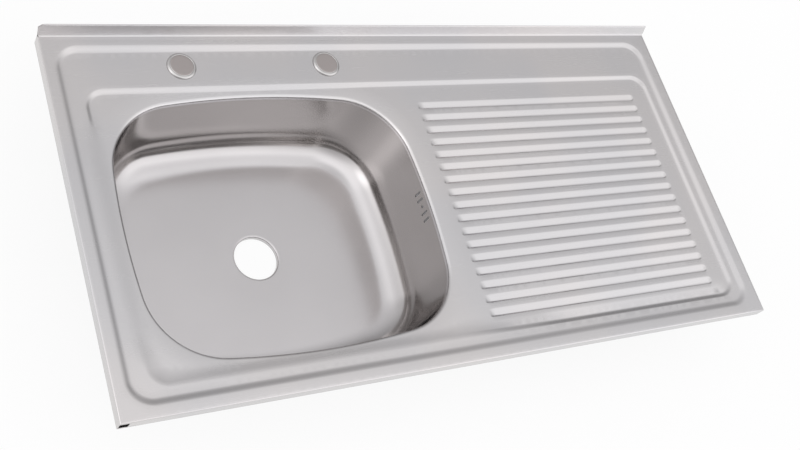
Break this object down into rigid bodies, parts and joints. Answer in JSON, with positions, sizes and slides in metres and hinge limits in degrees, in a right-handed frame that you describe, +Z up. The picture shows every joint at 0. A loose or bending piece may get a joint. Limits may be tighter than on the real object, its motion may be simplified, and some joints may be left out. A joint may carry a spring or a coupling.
{
  "type": "kitchen sink with drainboard",
  "caption": "Sit-on steel kitchen sink: a deep bowl at the left, a grooved drainboard at the right, a leaning upstand and plugged tap holes at the back.",
  "frame": {"origin": "centre of the four cabinet fixing holes, on the plane that the sink stands on", "axes": "+X to the right along the sink's length, +Y to the back towards the upstand, +Z up"},
  "size_m": [1, 0.507, 0.1535],
  "materials": {
    "sink_steel": "rolled stainless steel sheet with a satin finish",
    "galvanised_steel": "galvanised sheet",
    "spring_steel": "plain spring steel",
    "plug_steel": "satin top with a polished bevel",
    "plug_rubber": "matte black rubber",
    "plug_plastic": "moulded white plastic",
    "damping_pad": "dark sound-damping sheet"
  },
  "bodies": {
    "sink": {"sink_top": "sink_steel", "bowl": "sink_steel", "bowl_damping_pad": "damping_pad", "left_stiffener": "galvanised_steel", "right_stiffener": "galvanised_steel", "front_left_bracket": "galvanised_steel", "front_right_bracket": "galvanised_steel", "rear_left_bracket": "galvanised_steel", "rear_right_bracket": "galvanised_steel", "earth_tag": "sink_steel"},
    "left_tap_plug": {"left_plug_cap": "plug_steel", "left_plug_seal": "plug_rubber", "left_plug_core": "plug_plastic", "left_plug_clip": "spring_steel"},
    "right_tap_plug": {"right_plug_cap": "plug_steel", "right_plug_seal": "plug_rubber", "right_plug_core": "plug_plastic", "right_plug_clip": "spring_steel"}
  },
  "joints": [
    {"name": "left_plug_lift", "type": "slide", "parent": "sink", "child": "left_tap_plug", "axis": [0, 0, 1], "range_m": [0, 0.03]},
    {"name": "right_plug_lift", "type": "slide", "parent": "sink", "child": "right_tap_plug", "axis": [0, 0, 1], "range_m": [0, 0.03]}
  ]
}
